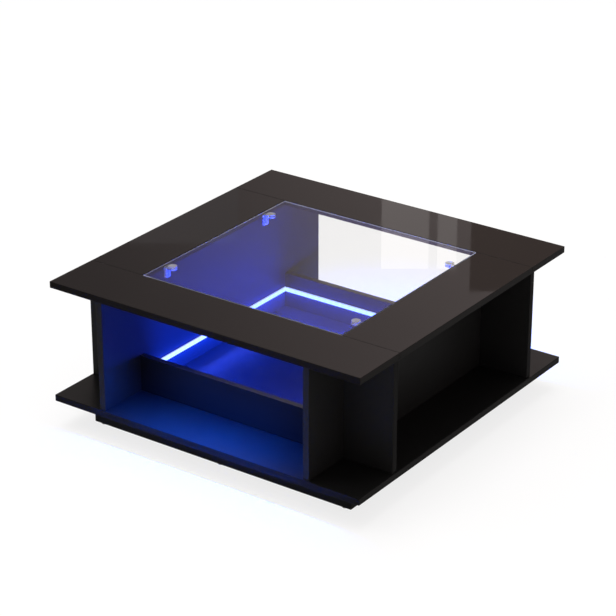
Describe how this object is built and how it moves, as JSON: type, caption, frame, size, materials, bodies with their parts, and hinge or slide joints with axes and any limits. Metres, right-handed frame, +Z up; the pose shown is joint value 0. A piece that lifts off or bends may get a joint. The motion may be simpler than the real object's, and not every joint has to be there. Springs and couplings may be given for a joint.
{
  "type": "collectors display table",
  "caption": "Low square coffee table with open side compartments round a lit central well, gloss black top border, drop-in glass lid on clear pegs, and a recessed plinth.",
  "frame": {"origin": "on the floor under the middle of the table, at the underside of the glides", "axes": "+Z up; -Y is the front, the side whose compartment is lit and open to the well; +X is the right side as seen from the front"},
  "size_m": [0.8, 0.8, 0.345],
  "materials": {
    "gloss_black": "high-gloss black laminate on particle board",
    "satin_black": "satin black melamine on particle board",
    "plinth_black": "satin black melamine on particle board",
    "lid_glass": "clear tempered glass, ground edges",
    "clear_plastic": "clear moulded plastic",
    "clear_vinyl": "soft clear vinyl",
    "light_diffuser": "frosted silicone, lit ice blue",
    "strip_white": "white flexible circuit strip",
    "ribbon_white": "white flat ribbon lead",
    "controller_black": "fine textured moulding",
    "foam_tape": "double-sided foam tape",
    "circuit_green": "lacquered fibreglass board",
    "switch_black": "moulded switch body",
    "button_grey": "satin moulded button",
    "plug_white": "moulded plug body",
    "zinc_steel": "zinc-plated steel",
    "zinc_cast": "die-cast zinc",
    "cap_black": "satin black push-on cap",
    "beech": "fluted beech dowel",
    "pine": "planed softwood",
    "glide_grey": "nail-on plastic glide"
  },
  "bodies": {
    "table": {"back_feed_ribbon": "ribbon_white", "back_left_wing": "satin_black", "back_low_wall": "satin_black", "back_right_wing": "satin_black", "base_board": "satin_black", "base_screws": "zinc_steel", "cam_bolts": "zinc_steel", "cam_caps": "cap_black", "cam_locks": "zinc_cast", "canopy_back_strip_carrier": "strip_white", "canopy_back_strip_diffuser": "light_diffuser", "canopy_front_strip_carrier": "strip_white", "canopy_front_strip_diffuser": "light_diffuser", "circuit_board": "circuit_green", "controller_case": "controller_black", "controller_cover": "controller_black", "controller_screws": "zinc_steel", "controller_tape": "foam_tape", "floor_glides": "glide_grey", "front_feed_ribbon": "ribbon_white", "front_left_wing": "satin_black", "front_low_wall": "satin_black", "front_right_wing": "satin_black", "glass_pegs": "clear_plastic", "left_upright": "satin_black", "low_wall_dowels": "beech", "plinth_back_rail": "plinth_black", "plinth_centre_rail": "plinth_black", "plinth_corner_blocks": "pine", "plinth_dowels": "beech", "plinth_front_rail": "plinth_black", "plinth_left_rail": "plinth_black", "plinth_right_rail": "plinth_black", "plinth_screws": "zinc_steel", "power_inlet": "zinc_steel", "right_upright": "satin_black", "seam_dowels": "beech", "strip_lead": "ribbon_white", "strip_plug": "plug_white", "suction_cups": "clear_vinyl", "tactile_switch": "switch_black", "top_back_board": "gloss_black", "top_dowels": "beech", "top_front_board": "gloss_black", "top_left_board": "gloss_black", "top_right_board": "gloss_black", "well_back_strip_carrier": "strip_white", "well_back_strip_diffuser": "light_diffuser", "well_front_strip_carrier": "strip_white", "well_front_strip_diffuser": "light_diffuser", "well_left_strip_carrier": "strip_white", "well_left_strip_diffuser": "light_diffuser", "well_right_strip_carrier": "strip_white", "well_right_strip_diffuser": "light_diffuser", "wing_dowels": "beech"},
    "lid": {"glass_panel": "lid_glass"},
    "button": {"power_button": "button_grey"}
  },
  "joints": [
    {"name": "lid_lift", "type": "slide", "parent": "table", "child": "lid", "axis": [0, 0, 1], "range_m": [0, 0.3]},
    {"name": "power_button_press", "type": "slide", "parent": "table", "child": "button", "axis": [0, 0, -1], "range_m": [0, 0.001], "stiffness_N_per_m": 400, "springref_m": -0.002}
  ]
}
